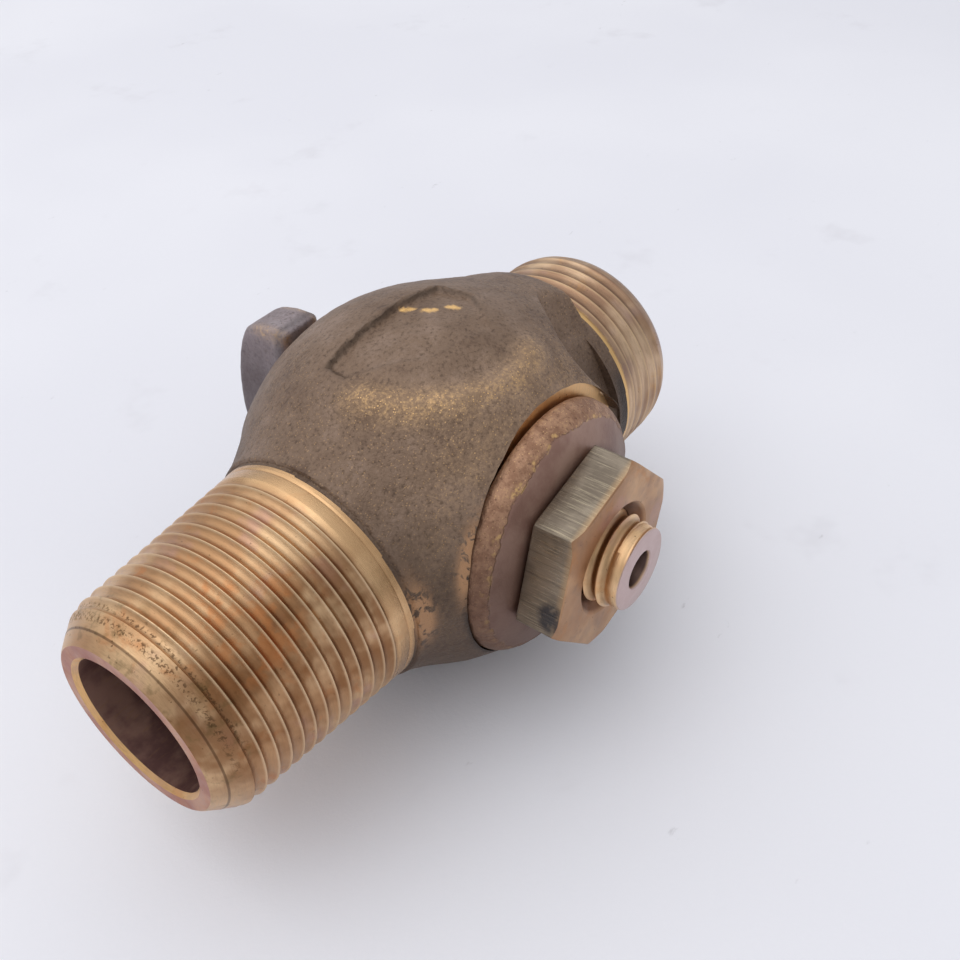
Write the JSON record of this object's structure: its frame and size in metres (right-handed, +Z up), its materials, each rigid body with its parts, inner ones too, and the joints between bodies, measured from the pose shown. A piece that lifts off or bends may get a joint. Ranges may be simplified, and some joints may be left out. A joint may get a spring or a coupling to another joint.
{
  "type": "ground-key shut-off valve",
  "caption": "Straight-through ground-key valve with a long tapered inlet thread, a short outlet thread and a tee-headed key held by a washer and nut.",
  "frame": {"origin": "bottom centre of the valve's box at rest, straight below the middle of its length and width", "axes": "+X along the flow from the long tapered inlet thread to the short outlet thread, +Y along the key from its nut to its tee head, +Z up"},
  "size_m": [0.0926, 0.0677, 0.0512],
  "materials": {
    "body_casting": "sand-cast bronze, tarnished grey-brown, with machined golden threads and faces",
    "key_bronze": "turned golden bronze, with a cast tarnished tee head",
    "washer_bronze": "reddish cast bronze, sandy at the rim and smoother in the middle",
    "nut_brass": "dull grey-olive brushed flats and a brassy front face"
  },
  "bodies": {
    "body": {"valve_body": "body_casting"},
    "key": {"key_plug": "key_bronze"},
    "washer": {"key_washer": "washer_bronze"},
    "nut": {"key_nut": "nut_brass"}
  },
  "joints": [
    {"name": "key_turn", "type": "hinge", "parent": "body", "child": "key", "pos_m": [0.0065, 0, 0.0258], "axis": [0, 1, 0], "continuous": true},
    {"name": "washer_slide", "type": "slide", "parent": "key", "child": "washer", "axis": [0, -1, 0], "range_m": [0, 0.00726]},
    {"name": "nut_turn", "type": "hinge", "parent": "washer", "child": "nut", "pos_m": [0.0065, 0, 0.0258], "axis": [0, -1, 0], "range_deg": [0, 1440]}
  ],
  "couplings": [
    {"joint": "nut_turn", "follows": "washer_slide", "rad_per_m": 3463.2}
  ]
}
